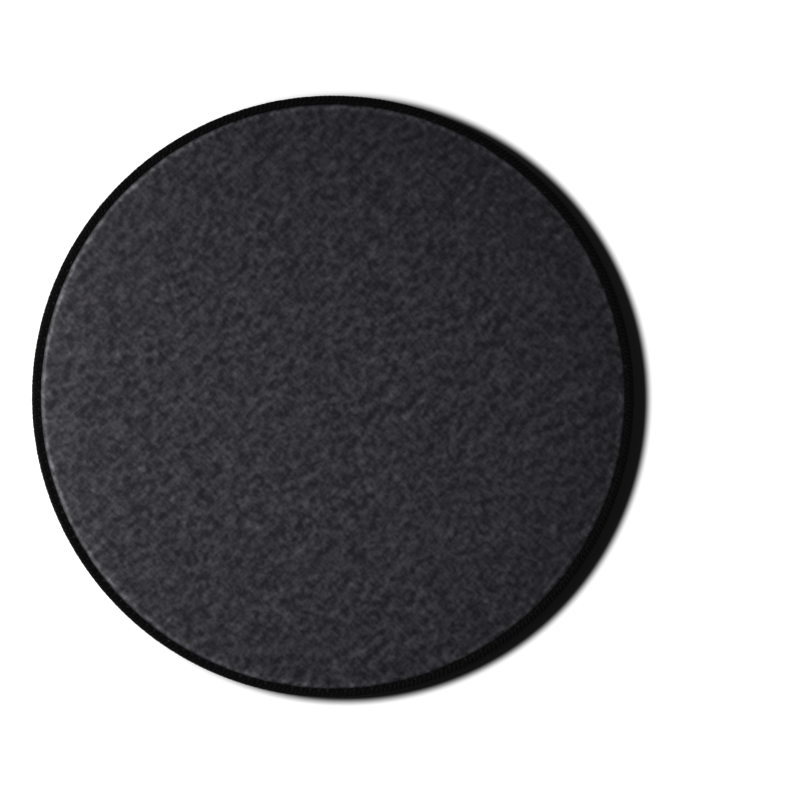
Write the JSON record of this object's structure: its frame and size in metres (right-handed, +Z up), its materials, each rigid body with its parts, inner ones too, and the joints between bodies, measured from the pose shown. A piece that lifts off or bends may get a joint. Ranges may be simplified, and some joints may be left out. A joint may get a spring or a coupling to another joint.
{
  "type": "mouse pad",
  "caption": "Round thin mouse pad: mottled charcoal cloth laminated to a foam rubber base, with a black overlock-stitched edge band.",
  "frame": {"origin": "middle of the flat face that rests on the desk", "axes": "+Z up, out of the cloth face, along the disc's axis; +X and +Y lie in the desk plane, +X to the right and +Y away from the user"},
  "size_m": [0.2, 0.2, 0.003],
  "materials": {
    "foam_rubber": "matte, finely embossed",
    "bond_film": "satin, smoke grey",
    "charcoal_cloth": "matte woven cloth, mottled",
    "black_yarn": "satin spun yarn",
    "black_thread": "satin twisted thread"
  },
  "bodies": {
    "root": {"rubber_base": "foam_rubber", "bond_film": "bond_film", "cloth_top": "charcoal_cloth", "lower_looper_thread": "black_yarn", "upper_looper_thread": "black_yarn", "needle_thread": "black_thread"}
  },
  "joints": []
}
